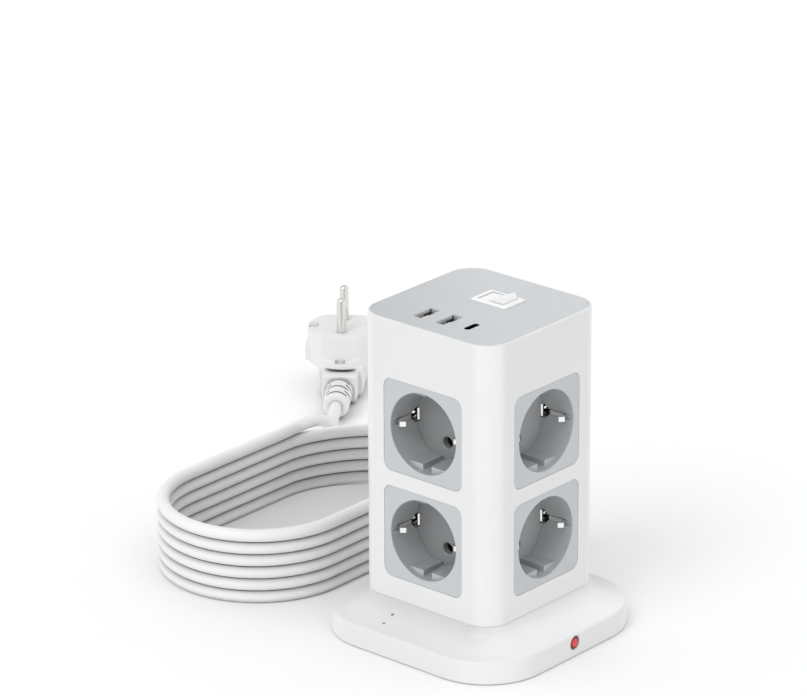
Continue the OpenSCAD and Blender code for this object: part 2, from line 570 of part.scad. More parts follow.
module plug_body() color(WHITE) at_plug() {
  difference() {
    union() {
      // back, wide in the middle, with bevelled edges and a narrower neck towards the cord
      hull() {
        translate([-8.6, 31, 0]) cube([17.2, 30, 1]);
        translate([-11.6, 34, 3.4]) cube([23.2, 28, 15]);
        translate([-6.5, 60, 6]) cube([13, 11, 12]);
        translate([-11.6, 30.5, 5]) cube([23.2, 5, 13]);
      }
      hull() {
        translate([-7.6, 23, 0.6]) cube([15.2, 12, 1]);
        translate([-9.2, 22, 3]) cube([18.4, 13, 13]);
      }
      // finger grips beside the flange
      for (s = [-1, 1]) hull() {
        translate([s*10 - 1, disc_y - 9, 16]) cube([2, 18, 12]);
        translate([s*19 - 0.4, disc_y - 8, 18.5]) cube([0.8, 16, 8]);
      }
      translate([0, disc_y, 17]) cylinder(r = disc_r, h = face_z - 17);
    }
    // grooves for the socket's guide blocks, and beds for the side contacts
    for (s = [-1, 1]) {
      translate([-2.6, disc_y + (s > 0 ? 15.9 : -19.9), 20]) cube([5.2, 4, 20]);
      translate([-11, disc_y + (s > 0 ? 15.9 : -19.9), 22]) cube([22, 4, 20]);
      translate([s > 0 ? 16.8 : -20.8, disc_y - 2.6, 29]) cube([4, 5.2, 10]);
    }
  }
  // ridges beside the back
  for (s = [-1, 1], i = [0, 1]) translate([s*11.4 - 0.8, 34, 6.6 + 4*i]) cube([1.6, 26, 1.6]);
}

module plug_pins() color(STEEL) at_plug() {
  for (s = [-1, 1]) translate([0, disc_y + s*pin_pitch/2, face_z + 0.02]) {
    cylinder(r = 2.4, h = 16.6);
    translate([0, 0, 16.6]) sphere(r = 2.4);
  }
  // side contacts
  for (s = [-1, 1]) {
    translate([s > 0 ? 16.82 : -17.62, disc_y - 2.2, 29.02]) cube([0.8, 4.4, 6]);
    translate([s > 0 ? 13.2 : -17.62, disc_y - 2.2, 35.02]) cube([4.42, 4.4, 0.5]);
  }
}

module plug_strain_relief() color(WHITE) at_plug() translate([0, 0, 8]) difference() {
  rotate([-90, 0, 0]) rotate_extrude() polygon([[0, 0], [5.4, 0], [6.3, 0.4], [6.8, 1.3], [7.1, 21.9], [0, 21.9]]);
  for (i = [0:4]) translate([0, 3.9 + 4.1*i, 0]) {
    if (i % 2 == 0) for (s = [-1, 1]) translate([-8, -0.95, s > 0 ? 3.9 : -8.9]) cube([16, 1.9, 5]);
    else for (s = [-1, 1]) translate([s > 0 ? 3.9 : -8.9, -0.95, -8]) cube([5, 1.9, 16]);
  }
}

// ---------------------------------------------------------------- nodes

tower_shell();
top_panel();
socket(0, socket_zs[0]);  // socket_front_lower
socket(0, socket_zs[1]);  // socket_front_upper
socket(1, socket_zs[0]);  // socket_right_lower
socket(1, socket_zs[1]);  // socket_right_upper
socket(2, socket_zs[0]);  // socket_back_lower
socket(2, socket_zs[1]);  // socket_back_upper
socket(3, socket_zs[0]);  // socket_left_lower
socket(3, socket_zs[1]);  // socket_left_upper
contact_strip(0, pin_pitch/2, 1, BRASS);  // live_strip_front
contact_strip(1, pin_pitch/2, 1, BRASS);  // live_strip_right
contact_strip(2, pin_pitch/2, 1, BRASS);  // live_strip_back
contact_strip(3, pin_pitch/2, 1, BRASS);  // live_strip_left
live_link();
contact_strip(0, -pin_pitch/2, -1, BRASS);  // neutral_strip_front
contact_strip(1, -pin_pitch/2, -1, BRASS);  // neutral_strip_right
contact_strip(2, -pin_pitch/2, -1, BRASS);  // neutral_strip_back
contact_strip(3, -pin_pitch/2, -1, BRASS);  // neutral_strip_left
neutral_link();
earth_strip(0);  // earth_strip_front
earth_strip(1);  // earth_strip_right
earth_strip(2);  // earth_strip_back
earth_strip(3);  // earth_strip_left
earth_link();
usb_board();
usb_a_shells();
usb_a_tongues();
usb_c_shell();
usb_c_tongue();
usb_transformer();
switch_housing();
power_rocker();
switch_contact_arm();
switch_terminals();
surge_board();
varistors();
thermal_fuse();
base_cover();
base_plate();
rubber_feet();
base_screws();
tower_screws();
board_screws();
indicator_light_pipes();
indicator_board();
breaker_body();
reset_button();
reset_spring();
line_wires();
neutral_wire();
earth_wire();
cord_clamp();
cord_strain_relief();
power_cord_lead();
power_cord_coil();
power_cord_tail();
plug_body();
plug_pins();
plug_strain_relief();
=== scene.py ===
# Tower power strip: the looks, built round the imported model. Metres, +Z up, front is -Y.
import bpy
import bmesh
import math
from mathutils import Matrix, Vector


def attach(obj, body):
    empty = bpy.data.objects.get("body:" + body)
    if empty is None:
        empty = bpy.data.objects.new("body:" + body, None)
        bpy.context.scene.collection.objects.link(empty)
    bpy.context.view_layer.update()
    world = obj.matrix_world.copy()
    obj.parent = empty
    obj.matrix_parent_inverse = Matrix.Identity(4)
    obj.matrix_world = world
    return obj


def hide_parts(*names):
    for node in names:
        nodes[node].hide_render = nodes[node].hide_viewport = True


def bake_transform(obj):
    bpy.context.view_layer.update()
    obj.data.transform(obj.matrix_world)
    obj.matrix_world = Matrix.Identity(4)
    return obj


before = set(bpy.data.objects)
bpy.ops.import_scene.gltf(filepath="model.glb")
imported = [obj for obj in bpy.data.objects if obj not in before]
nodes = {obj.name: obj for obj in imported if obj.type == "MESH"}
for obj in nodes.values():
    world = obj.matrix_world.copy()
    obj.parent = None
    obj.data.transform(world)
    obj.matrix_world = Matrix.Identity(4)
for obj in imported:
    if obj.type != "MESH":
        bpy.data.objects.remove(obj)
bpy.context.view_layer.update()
scene = bpy.context.scene
mm = 0.001

# ------------------------------------------------------------------ camera

scene.view_settings.view_transform = "Standard"
scene.view_settings.look = "None"
scene.view_settings.exposure = 0.0
scene.view_settings.gamma = 1.0

cam_az, cam_el, cam_roll = math.radians(41.039), math.radians(21.188), math.radians(-0.245)
right = Vector((math.cos(cam_az), math.sin(cam_az), 0))
back = Vector((math.sin(cam_az) * math.cos(cam_el), -math.cos(cam_az) * math.cos(cam_el), math.sin(cam_el)))
up = back.cross(right)
right2 = math.cos(cam_roll) * right + math.sin(cam_roll) * up
up2 = -math.sin(cam_roll) * right + math.cos(cam_roll) * up
cam_data = bpy.data.cameras.new("camera")
cam_data.lens = 210.22
cam_data.sensor_width = 36
cam_data.sensor_fit = "HORIZONTAL"
cam_data.clip_start, cam_data.clip_end = 0.1, 100
cam = bpy.data.objects.new("camera", cam_data)
scene.collection.objects.link(cam)
cam.matrix_world = Matrix((
    (right2.x, up2.x, back.x, 1.2921),
    (right2.y, up2.y, back.y, -1.5373),
    (right2.z, up2.z, back.z, 0.9162),
    (0, 0, 0, 1)))
scene.camera = cam

# ------------------------------------------------------------------ node materials


class Mat:
    """Small helper that builds a node material whose colour, roughness and bump vary over the surface."""

    def __init__(self, name, **sockets):
        self.m = bpy.data.materials.new(name)
        self.m.use_nodes = True
        self.t = self.m.node_tree
        self.b = self.t.nodes["Principled BSDF"]
        for k, v in sockets.items():
            self.b.inputs[k.replace("_", " ")].default_value = v
        self.coord = self.t.nodes.new("ShaderNodeTexCoord")

    def link(self, a, b):
        self.t.links.new(a, b)

    def obj(self):
        return self.coord.outputs["Object"]

    def noise(self, scale, detail=2.0, rough=0.5, src=None, stretch=None, distortion=0.0):
        n = self.t.nodes.new("ShaderNodeTexNoise")
        n.inputs["Scale"].default_value = scale
        n.inputs["Detail"].default_value = detail
        n.inputs["Roughness"].default_value = rough
        n.inputs["Distortion"].default_value = distortion
        v = src or self.obj()
        if stretch:
            mp = self.t.nodes.new("ShaderNodeMapping")
            mp.inputs["Scale"].default_value = stretch
            self.link(v, mp.inputs["Vector"])
            v = mp.outputs["Vector"]
        self.link(v, n.inputs["Vector"])
        return n.outputs["Fac"]

    def math(self, op, a, b=None, c=None, clamp=False):
        n = self.t.nodes.new("ShaderNodeMath")
        n.operation = op
        n.use_clamp = clamp
        for i, x in enumerate((a, b, c)):
            if x is None:
                continue
            if isinstance(x, (int, float)):
                n.inputs[i].default_value = x
            else:
                self.link(x, n.inputs[i])
        return n.outputs[0]

    def span(self, v, lo, hi, to_lo=0.0, to_hi=1.0, smooth=True):
        n = self.t.nodes.new("ShaderNodeMapRange")
        n.interpolation_type = "SMOOTHSTEP" if smooth else "LINEAR"
        n.inputs["From Min"].default_value = lo
        n.inputs["From Max"].default_value = hi
        n.inputs["To Min"].default_value = to_lo
        n.inputs["To Max"].default_value = to_hi
        self.link(v, n.inputs["Value"])
        return n.outputs["Result"]

    def mix(self, fac, a, b):
        n = self.t.nodes.new("ShaderNodeMix")
        n.data_type = "RGBA"
        ins = [s for s in n.inputs if s.type == "RGBA"]
        out = [s for s in n.outputs if s.type == "RGBA"][0]
        for s, x in ((n.inputs[0], fac), (ins[0], a), (ins[1], b)):
            if isinstance(x, (int, float)):
                s.default_value = x
            elif isinstance(x, (tuple, list)):
                s.default_value = (*x, 1) if len(x) == 3 else x
            else:
                self.link(x, s)
        return out

    def axes(self, v=None):
        n = self.t.nodes.new("ShaderNodeSeparateXYZ")
        self.link(v or self.obj(), n.inputs[0])
        return n.outputs[0], n.outputs[1], n.outputs[2]

    def scaled(self, c, factor):
        n = self.t.nodes.new("ShaderNodeVectorMath")
        n.operation = "SCALE"
        self.link(c, n.inputs[0])
        self.link(factor, n.inputs["Scale"])
        return n.outputs[0]

    def colour(self, c):
        self.link(c, self.b.inputs["Base Color"])

    def rough(self, v):
        self.link(v, self.b.inputs["Roughness"])

    def bump(self, height, strength=0.1, distance=0.00005, under=None):
        n = self.t.nodes.new("ShaderNodeBump")
        n.inputs["Strength"].default_value = strength
        n.inputs["Distance"].default_value = distance
        self.link(height, n.inputs["Height"])
        if under:
            self.link(under, n.inputs["Normal"])
        self.link(n.outputs["Normal"], self.b.inputs["Normal"])
        return n.outputs["Normal"]


def shade(c, k):
    return tuple(x * k for x in c)


def plastic(name, c, rough=0.38, spread=0.06, cloud=0.012, grain=2400, bump=0.06, cloud_scale=22, **kw):
    """Moulded plastic: faint flow clouding, a fine spark-eroded grain and small gloss changes."""
    m = Mat(name, **kw)
    big = m.noise(cloud_scale, 3, 0.55)
    fine = m.noise(grain, 2, 0.6)
    m.colour(m.mix(m.span(big, 0.3, 0.7), shade(c, 1 - cloud), shade(c, 1 + cloud)))
    gloss = m.noise(90, 3, 0.6)
    m.rough(m.span(gloss, 0.25, 0.75, rough - spread, rough + spread))
    m.bump(fine, bump, 0.00004)
    return m


def metal(name, c, rough=0.25, along=(1, 1, 1), tarnish=0.12, scale=900, bump=0.05):
    """Sheet metal with rolling marks along one direction and a little tarnish."""
    m = Mat(name, Metallic=1.0)
    marks = m.noise(scale, 3, 0.6, stretch=along)
    stain = m.noise(70, 4, 0.6)
    m.colour(m.mix(m.span(stain, 0.35, 0.75), c, shade(c, 1 - tarnish)))
    m.rough(m.span(marks, 0.2, 0.8, rough * 0.75, rough * 1.35))
    m.bump(marks, bump, 0.00002)
    return m


mats = {}


def finish_of(slot, m):
    mats[slot] = m.m if isinstance(m, Mat) else m


W = (0.759, 0.761, 0.764)
G = (0.519, 0.537, 0.552)
# the top panel's grey is the socket grey lightened: painted light for the upward-facing top
G_TOP_LIT = (0.558, 0.577, 0.593)
finish_of("base_plate_plastic", plastic("base_plate_plastic", (0.78, 0.785, 0.79), rough=0.48, bump=0.12, grain=1500))
finish_of("clamp_plastic", plastic("clamp_plastic", (0.7, 0.7, 0.69), rough=0.45))
finish_of("black_plastic", plastic("black_plastic", (0.022, 0.022, 0.024), rough=0.35, cloud=0.2))
finish_of("varistor_blue", plastic("varistor_blue", (0.03, 0.12, 0.42), rough=0.3, cloud=0.12, cloud_scale=120, grain=700, bump=0.15))
finish_of("ceramic_white", plastic("ceramic_white", (0.75, 0.74, 0.68), rough=0.3, cloud=0.05, cloud_scale=200))
finish_of("foot_rubber", plastic("foot_rubber", (0.11, 0.11, 0.115), rough=0.75, cloud=0.15, grain=1800, bump=0.25))
finish_of("contact_brass", metal("contact_brass", (0.40, 0.29, 0.13), 0.42, along=(1, 1, 0.1), tarnish=0.3))
finish_of("port_steel_dark", metal("port_steel_dark", (0.018, 0.018, 0.02), 0.45, along=(1, 1, 0.1)))
finish_of("screw_steel", metal("screw_steel", (0.62, 0.62, 0.64), 0.3, scale=1400))
finish_of("plug_nickel", metal("plug_nickel", (0.76, 0.75, 0.72), 0.17, along=(1, 1, 0.08), tarnish=0.08))

# white case: moulded plastic, with painted light: a painted highlight on the base's right slope, painted shade on its
# steep front slope by the tower, a painted highlight round the upright corners and painted shade on the flat upright
# faces
m = Mat("white_case")
x, y, z = m.axes()
geo = m.t.nodes.new("ShaderNodeNewGeometry")
nx, ny, nz = m.axes(geo.outputs["Normal"])
out_x = m.math("MAXIMUM", m.math("SUBTRACT", m.math("ABSOLUTE", x), 0.02685), 0.0)
out_y = m.math("MAXIMUM", m.math("SUBTRACT", m.math("ABSOLUTE", y), 0.02685), 0.0)
xx, yy = m.math("MULTIPLY", out_x, out_x), m.math("MULTIPLY", out_y, out_y)
share_x = m.math("DIVIDE", xx, m.math("MAXIMUM", m.math("ADD", xx, yy), 1e-8))
to_right = m.math("MULTIPLY", share_x, m.math("GREATER_THAN", x, 0.0))
to_front = m.math("MULTIPLY", m.math("SUBTRACT", 1.0, share_x), m.math("LESS_THAN", y, 0.0))
nz2 = m.math("MULTIPLY", nz, nz)
# painted highlight on the base's right slope, stronger towards the back; painted shade on the steep front slope by
# the tower
right_slope_highlight = m.math("MULTIPLY", m.math("MULTIPLY_ADD", nz2, 0.20, -0.04), m.span(y, -0.03, 0.03, 0.85, 1.3, smooth=False))
front_slope_shade = m.math("MULTIPLY_ADD", m.math("MULTIPLY", nz2, nz2), 0.22, -0.18)
slope_painted_light = m.math("ADD", m.math("MULTIPLY", to_right, right_slope_highlight), m.math("MULTIPLY", to_front, front_slope_shade))
slope_painted_light = m.math("MULTIPLY", slope_painted_light, m.math("MULTIPLY", m.span(z, 0.0110, 0.0119), m.span(z, 0.0206, 0.0208, 1.0, 0.0)))
# painted light on the upright walls: a painted highlight round the corners, painted shade on the flat faces, more on
# the side faces and higher up
upright = m.span(m.math("ABSOLUTE", nz), 0.2, 0.5, 1.0, 0.0)
high = m.span(z, 0.03, 0.15, 0.0, 1.0, smooth=False)
flat_face_shade = m.math("MULTIPLY", high, m.span(m.math("ABSOLUTE", nx), 0.3, 0.9, -0.025, -0.045))
corner_highlight = m.span(m.math("MULTIPLY", m.math("ABSOLUTE", nx), m.math("ABSOLUTE", ny)), 0.12, 0.42)
upright_painted_light = m.math("MULTIPLY", upright, m.math("ADD", m.math("MULTIPLY", corner_highlight, 0.058), m.math("MULTIPLY", flat_face_shade, m.math("SUBTRACT", 1.0, corner_highlight))))
cloud = m.span(m.noise(22, 3, 0.55), 0.3, 0.7)
m.colour(m.scaled(m.mix(cloud, shade(W, 0.988), shade(W, 1.012)), m.math("ADD", 1.0, m.math("ADD", slope_painted_light, upright_painted_light))))
m.rough(m.span(m.noise(90, 3, 0.6), 0.25, 0.75, 0.30, 0.42))
m.bump(m.noise(2400, 2, 0.6), 0.05, 0.00004)
finish_of("white_case", m)

# grey top panel, with painted shade deepening towards its front left corner and painted light towards the back right
m = Mat("grey_panel")
x, y, z = m.axes()
painted_light_across = m.span(m.math("ADD", m.math("MULTIPLY", x, 0.19), m.math("MULTIPLY", y, 0.22)), -0.0135, 0.0028, 0.905, 1.065, smooth=False)
m.colour(m.scaled(m.mix(m.span(m.noise(22, 3, 0.55), 0.3, 0.7), shade(G_TOP_LIT, 0.985), shade(G_TOP_LIT, 1.015)), painted_light_across))
m.rough(m.span(m.noise(90, 3, 0.6), 0.25, 0.75, 0.36, 0.48))
m.bump(m.noise(2000, 2, 0.6), 0.09, 0.00004)
finish_of("grey_panel", m)

# switch: glossy white, with painted shade greying it in the gap round the rocker
m = Mat("switch_white")
ao = m.t.nodes.new("ShaderNodeAmbientOcclusion")
ao.samples = 12
ao.inputs["Distance"].default_value = 0.0022
cloud = m.mix(m.span(m.noise(22, 3, 0.55), 0.3, 0.7), (0.90, 0.90, 0.90), (0.92, 0.92, 0.92))
m.colour(m.mix(m.span(ao.outputs["AO"], 0.30, 0.80), (0.70, 0.70, 0.705), cloud))
m.rough(m.span(m.noise(90, 3, 0.6), 0.25, 0.75, 0.22, 0.34))
m.bump(m.noise(3600, 2, 0.6), 0.03, 0.00004)
finish_of("switch_white", m)

# shells of the USB-A ports: folded steel, with painted shade darkening it in the depth and near-black painted shade
# in the far corner
m = Mat("port_steel", Metallic=0.3)
x, y, z = m.axes()
geo = m.t.nodes.new("ShaderNodeNewGeometry")
nx, ny, nz = m.axes(geo.outputs["Normal"])
along = m.math("ADD", y, 0.0223)
corner_shade = m.math("MAXIMUM", m.math("MULTIPLY", m.span(along, 0.0042, 0.0052), 0.75),
                m.math("MULTIPLY", m.span(along, 0.0004, 0.0014), m.span(z, 0.1565, 0.1569, 1.0, 0.0)))
corner_shade = m.math("MULTIPLY", corner_shade, m.span(nx, 0.3, 0.7))
depth_shade = m.span(z, 0.1556, 0.1574)
steel = m.mix(depth_shade, (0.50, 0.50, 0.505), m.mix(m.span(m.noise(80, 3, 0.6), 0.35, 0.75), (0.76, 0.76, 0.765), (0.70, 0.70, 0.705)))
m.colour(m.mix(corner_shade, steel, (0.06, 0.06, 0.062)))
marks = m.noise(900, 3, 0.6, stretch=(1, 1, 0.1))
m.rough(m.span(marks, 0.2, 0.8, 0.32, 0.5))
m.bump(marks, 0.05, 0.00002)
finish_of("port_steel", m)

# earth contacts: bright on the arms and feet, with near-black painted shade on the necks that run down inside the
# slots
m = Mat("earth_steel", Metallic=1.0)
x, y, z = m.axes()
ax, ay = m.math("ABSOLUTE", x), m.math("ABSOLUTE", y)
depth = m.math("SUBTRACT", 0.04015, m.math("MAXIMUM", ax, ay))
neck_shade = m.math("MULTIPLY", m.span(depth, 0.0135, 0.0138), m.span(m.math("MINIMUM", ax, ay), 0.01735, 0.01755))
bright = m.mix(m.span(m.noise(70, 4, 0.6), 0.35, 0.75), (0.90, 0.90, 0.905), (0.846, 0.846, 0.851))
marks = m.noise(900, 3, 0.6, stretch=(1, 1, 0.15))
m.colour(m.mix(neck_shade, bright, (0.035, 0.035, 0.037)))
m.rough(m.span(marks, 0.2, 0.8, 0.12, 0.22))
m.bump(marks, 0.05, 0.00002)
finish_of("earth_steel", m)

# socket grey: light on the face plate, painted light on the fronts of the lower guide blocks, painted shade inside
# the recess, deepest on its floor
m = Mat("socket_grey")
x, y, z = m.axes()
ax, ay = m.math("ABSOLUTE", x), m.math("ABSOLUTE", y)
depth = m.math("SUBTRACT", 0.04015, m.math("MAXIMUM", ax, ay))
geo = m.t.nodes.new("ShaderNodeNewGeometry")
nx, ny, nz = m.axes(geo.outputs["Normal"])
side = m.math("GREATER_THAN", ax, ay)
facing = m.math("ADD", m.math("MULTIPLY", m.math("ABSOLUTE", nx), side),
                m.math("MULTIPLY", m.math("ABSOLUTE", ny), m.math("SUBTRACT", 1.0, side)))
inside = m.span(depth, 0.0004, 0.0008)
# painted light only on the fronts of the lower guide blocks; the upper ones keep the painted shade
lit_low_blocks = m.math("ADD", m.math("LESS_THAN", z, 0.042),
                   m.math("MULTIPLY", m.math("GREATER_THAN", z, 0.080), m.math("LESS_THAN", z, 0.0947)))
lit_block_front = m.math("MULTIPLY", m.math("MULTIPLY", m.span(facing, 0.85, 0.97), lit_low_blocks),
               m.math("MULTIPLY", m.span(depth, 0.0028, 0.0031), m.span(depth, 0.0037, 0.0040, 1.0, 0.0)))
painted_shade = m.math("MULTIPLY", inside, m.math("SUBTRACT", 1.0, m.math("MULTIPLY", lit_block_front, 0.85)))
big = m.span(m.noise(30, 3, 0.55), 0.3, 0.7)
light_c = m.mix(big, shade(G, 0.985), shade(G, 1.015))
# painted shade for the recess walls and floor, one pair of walls lighter than the other
wall_shade_c = m.mix(side, m.mix(big, (0.370, 0.381, 0.389), (0.386, 0.397, 0.406)), m.mix(big, (0.430, 0.442, 0.451), (0.448, 0.460, 0.470)))
floor_shade_c = m.mix(side, m.mix(big, (0.278, 0.287, 0.293), (0.292, 0.301, 0.307)), m.mix(big, (0.395, 0.407, 0.415), (0.411, 0.423, 0.432)))
recess_shade_c = m.mix(m.span(depth, 0.0165, 0.0172), wall_shade_c, floor_shade_c)
m.colour(m.mix(painted_shade, light_c, recess_shade_c))
m.rough(m.span(m.noise(110, 3, 0.6), 0.25, 0.75, 0.36, 0.5))
m.bump(m.noise(2000, 2, 0.6), 0.08, 0.00004)
finish_of("socket_grey", m)

# reset button: red cap with dark-red painted shade on the rim where its side drops into the hole
m = Mat("reset_red", Coat_Weight=0.25, Coat_Roughness=0.15)
x, y, z = m.axes()
yy = m.math("MULTIPLY", y, y)
dz = m.math("SUBTRACT", z, 0.0069)
rad = m.math("SQRT", m.math("ADD", yy, m.math("MULTIPLY", dz, dz)))
# painted shade round the rim of the cap
edge = m.span(rad, 0.0019, 0.0024)
cloud = m.span(m.noise(260, 3, 0.6), 0.3, 0.7)
m.colour(m.mix(edge, m.mix(cloud, (0.68, 0.028, 0.026), (0.76, 0.040, 0.034)), (0.13, 0.006, 0.008)))
m.rough(m.span(m.noise(400, 2, 0.5), 0.3, 0.7, 0.26, 0.38))
m.bump(m.noise(2600, 2, 0.5), 0.05, 0.00004)
finish_of("reset_red", m)

# white PVC sheath of the lead, with painted shade: darker under the turn above, dark where the turns lie against each
# other, and a little greyer on the inside of the coil
m = Mat("cord_pvc")
x, y, z = m.axes()
geo = m.t.nodes.new("ShaderNodeNewGeometry")
lean = m.t.nodes.new("ShaderNodeVectorMath")
lean.operation = "ADD"
lean.inputs[1].default_value = (0, 0, 0.9)
m.link(geo.outputs["Normal"], lean.inputs[0])
up_lean = m.t.nodes.new("ShaderNodeVectorMath")
up_lean.operation = "NORMALIZE"
m.link(lean.outputs[0], up_lean.inputs[0])
above = m.t.nodes.new("ShaderNodeAmbientOcclusion")
above.samples = 12
above.inputs["Distance"].default_value = 0.007
m.link(up_lean.outputs[0], above.inputs["Normal"])
ao = m.t.nodes.new("ShaderNodeAmbientOcclusion")
ao.samples = 12
ao.inputs["Distance"].default_value = 0.0035
gap_shade = m.span(ao.outputs["AO"], 0.10, 0.40)
lit = m.span(above.outputs["AO"], 0.52, 0.86, 0.67, 1.0, smooth=False)
# the lowest turn gets light back from the floor
lit = m.math("MAXIMUM", lit, m.span(z, 0.0005, 0.0040, 0.97, 0.0))
gap_shade = m.math("MAXIMUM", gap_shade, m.span(z, 0.0006, 0.0026, 0.72, 0.0))
# direction from here to the coil's long axis, and how far the surface faces that way
to_x = m.math("SUBTRACT", -0.1249, x)
to_y = m.math("SUBTRACT", m.math("MINIMUM", m.math("MAXIMUM", y, -0.015), 0.053), y)
away = m.math("SQRT", m.math("ADD", m.math("MULTIPLY", to_x, to_x), m.math("MULTIPLY", to_y, to_y)))
nx, ny, nz = m.axes(geo.outputs["Normal"])
inward = m.math("DIVIDE", m.math("ADD", m.math("MULTIPLY", nx, to_x), m.math("MULTIPLY", ny, to_y)), m.math("MAXIMUM", away, 0.001))
# painted shade on the inside of the coil, stronger towards the back and low down
inner_shade = m.math("MULTIPLY", m.span(inward, 0.0, 0.45), m.span(away, 0.0435, 0.0468, 1.0, 0.0))
inner_shade = m.math("MULTIPLY", inner_shade, m.math("MULTIPLY", m.span(y, 0.02, 0.085, 0.25, 1.0), m.span(z, 0.0, 0.037, 1.0, 0.6, smooth=False)))
light_and_shade = m.math("MULTIPLY", lit, m.math("SUBTRACT", 1.0, m.math("MULTIPLY", inner_shade, m.span(nz, -0.6, 0.5, 0.05, 0.42))))
sheath = m.mix(m.span(m.noise(35, 3, 0.55), 0.3, 0.7), (0.836, 0.838, 0.840), (0.854, 0.856, 0.858))
toned = m.t.nodes.new("ShaderNodeVectorMath")
toned.operation = "SCALE"
m.link(sheath, toned.inputs[0])
m.link(light_and_shade, toned.inputs["Scale"])
m.colour(m.mix(gap_shade, (0.20, 0.20, 0.205), toned.outputs[0]))
m.rough(m.span(m.noise(90, 3, 0.6), 0.25, 0.75, 0.36, 0.48))
m.bump(m.noise(1300, 2, 0.6), 0.08, 0.00004)
finish_of("cord_pvc", m)

# the plug's moulding, shaded in its flex slots and grooves
m = Mat("plug_pvc")
ao = m.t.nodes.new("ShaderNodeAmbientOcclusion")
ao.samples = 12
ao.inputs["Distance"].default_value = 0.004
deep = m.span(ao.outputs["AO"], 0.30, 0.82)
m.colour(m.mix(deep, (0.17, 0.171, 0.173), m.mix(m.span(m.noise(22, 3, 0.55), 0.3, 0.7), (0.785, 0.787, 0.790), (0.80, 0.802, 0.806))))
m.rough(m.span(m.noise(90, 3, 0.6), 0.25, 0.75, 0.34, 0.46))
m.bump(m.noise(1600, 2, 0.6), 0.08, 0.00004)
finish_of("plug_pvc", m)

# tongues of the USB-A ports: pale plastic, with a near-black band of painted shade across them
m = Mat("tongue_grey")
x, y, z = m.axes()
along = m.math("ADD", y, 0.0223)
painted_shade = m.math("MULTIPLY", m.span(along, -0.0004, 0.0001), m.span(along, 0.0041, 0.0045, 1.0, 0.0))
m.colour(m.mix(painted_shade, m.mix(m.span(m.noise(60, 3, 0.55), 0.3, 0.7), (0.56, 0.565, 0.57), (0.60, 0.605, 0.61)), (0.02, 0.02, 0.022)))
m.rough(m.span(m.noise(90, 3, 0.6), 0.25, 0.75, 0.34, 0.46))
m.bump(m.noise(2400, 2, 0.6), 0.06, 0.00004)
finish_of("tongue_grey", m)

finish_of("spring_steel", metal("spring_steel", (0.66, 0.66, 0.68), 0.24, scale=1400))

# smoky light pipe
m = Mat("light_pipe_clear", IOR=1.49, Transmission_Weight=0.35)
m.colour(m.mix(m.span(m.noise(900, 2, 0.5), 0.3, 0.7), (0.24, 0.245, 0.25), (0.33, 0.335, 0.34)))
m.rough(m.span(m.noise(500, 2, 0.5), 0.3, 0.7, 0.2, 0.34))
m.bump(m.noise(2500, 2, 0.5), 0.05, 0.00003)
finish_of("light_pipe_clear", m)

# circuit board: solder mask with tracks and tinned pads
m = Mat("circuit_board")
x, y, z = m.axes()
br = m.t.nodes.new("ShaderNodeTexVoronoi")
br.feature = "F1"
br.distance = "MANHATTAN"
br.inputs["Scale"].default_value = 260
br.inputs["Randomness"].default_value = 0.35
m.link(m.obj(), br.inputs["Vector"])
pad = m.span(br.outputs["Distance"], 0.16, 0.2, 1.0, 0.0)
wave = m.t.nodes.new("ShaderNodeTexWave")
wave.wave_type = "BANDS"
wave.bands_direction = "DIAGONAL"
wave.inputs["Scale"].default_value = 95
wave.inputs["Distortion"].default_value = 6
wave.inputs["Detail"].default_value = 1
m.link(m.obj(), wave.inputs["Vector"])
track = m.span(wave.outputs["Fac"], 0.55, 0.62)
mask = m.mix(track, (0.012, 0.10, 0.045), (0.03, 0.19, 0.085))
m.colour(m.mix(pad, mask, (0.62, 0.60, 0.55)))
m.rough(m.span(m.noise(600, 2, 0.5), 0.3, 0.7, 0.25, 0.4))
m.bump(track, 0.2, 0.00003)
finish_of("circuit_board", m)

# yellow transformer tape with wrap lines
m = Mat("transformer_tape")
x, y, z = m.axes()
wrap = m.math("FRACT", m.math("MULTIPLY", z, 420.0))
lap = m.span(wrap, 0.0, 0.12)
m.colour(m.mix(lap, (0.42, 0.30, 0.03), m.mix(m.span(m.noise(160, 3, 0.6), 0.3, 0.7), (0.78, 0.58, 0.07), (0.86, 0.66, 0.12))))
m.rough(m.span(m.noise(500, 2, 0.5), 0.3, 0.7, 0.28, 0.42))
m.bump(lap, 0.3, 0.00008)
finish_of("transformer_tape", m)


def wire(name, a, b=None):
    """Wire insulation, drawn smooth, with an optional second colour in a lengthwise band."""
    m = Mat(name)
    c = m.mix(m.span(m.noise(120, 3, 0.6), 0.3, 0.7), shade(a, 0.92), shade(a, 1.06))
    if b:
        x, y, z = m.axes()
        s = m.math("FRACT", m.math("MULTIPLY", m.math("ADD", m.math("ADD", x, y), m.math("MULTIPLY", z, 0.6)), 260.0))
        c = m.mix(m.math("GREATER_THAN", s, 0.55), c, b)
    m.colour(c)
    m.rough(m.span(m.noise(700, 2, 0.5), 0.3, 0.7, 0.3, 0.45))
    m.bump(m.noise(1800, 2, 0.5), 0.06, 0.00004)
    return m


finish_of("wire_brown", wire("wire_brown", (0.20, 0.075, 0.03)))
finish_of("wire_blue", wire("wire_blue", (0.03, 0.14, 0.48)))
finish_of("wire_green_yellow", wire("wire_green_yellow", (0.80, 0.66, 0.03), (0.03, 0.32, 0.06)))

